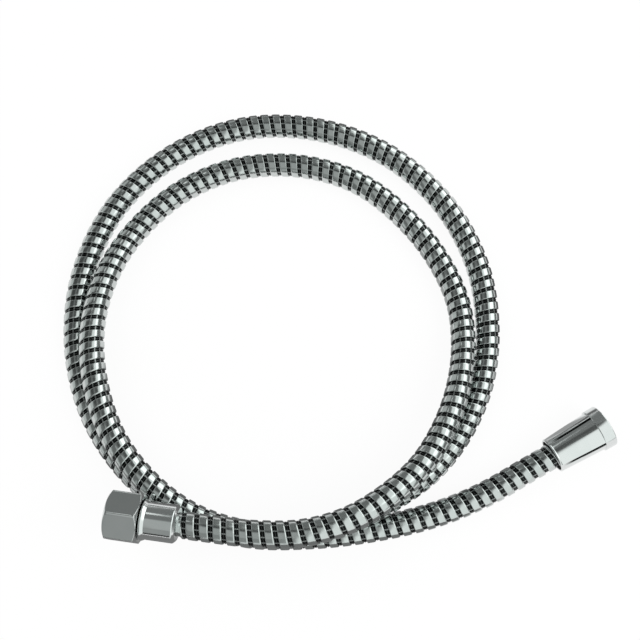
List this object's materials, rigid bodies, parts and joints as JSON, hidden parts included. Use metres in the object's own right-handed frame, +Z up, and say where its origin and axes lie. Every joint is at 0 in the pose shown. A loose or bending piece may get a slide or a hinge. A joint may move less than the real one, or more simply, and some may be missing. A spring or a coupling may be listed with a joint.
{
  "type": "shower hose",
  "caption": "Flexible banded metal shower hose, lying in two loose turns, with a hexagonal union nut on one end and a conical nut on the other.",
  "frame": {"origin": "middle of the whole hose's footprint, on the surface it lies on", "axes": "+Z up from that surface; +X from the hexagonal nut's side towards the conical nut's side; +Y away from the side where both ends lie"},
  "size_m": [0.3062, 0.2536, 0.0499],
  "materials": {
    "chrome_fittings": "polished chrome plating",
    "chrome_casing": "chromed double-interlock strip",
    "liner_rubber": "smooth black",
    "seal_rubber": "matt black",
    "insert_brass": "turned",
    "slide_plastic": "natural"
  },
  "bodies": {
    "hose": {"outer_casing": "chrome_casing", "inner_tube": "liner_rubber", "hex_end_sleeve": "chrome_fittings", "hex_end_ferrule": "insert_brass", "hex_end_nipple": "insert_brass", "cone_slide_ring": "slide_plastic", "cone_end_ferrule": "insert_brass", "cone_end_nipple": "insert_brass"},
    "hex_nut": {"hex_union_nut": "chrome_fittings", "hex_end_washer": "seal_rubber"},
    "cone_nut": {"conical_nut": "chrome_fittings", "cone_end_washer": "seal_rubber"}
  },
  "joints": [
    {"name": "hex_nut_swivel", "type": "hinge", "parent": "hose", "child": "hex_nut", "pos_m": [-0.0938, -0.1117, 0.03665], "axis": [-0.9894, 0.1355, -0.0523], "continuous": true},
    {"name": "cone_nut_swivel", "type": "hinge", "parent": "hose", "child": "cone_nut", "pos_m": [0.1295, -0.0708, 0.0109], "axis": [0.8708, 0.4867, 0.0698], "continuous": true}
  ]
}
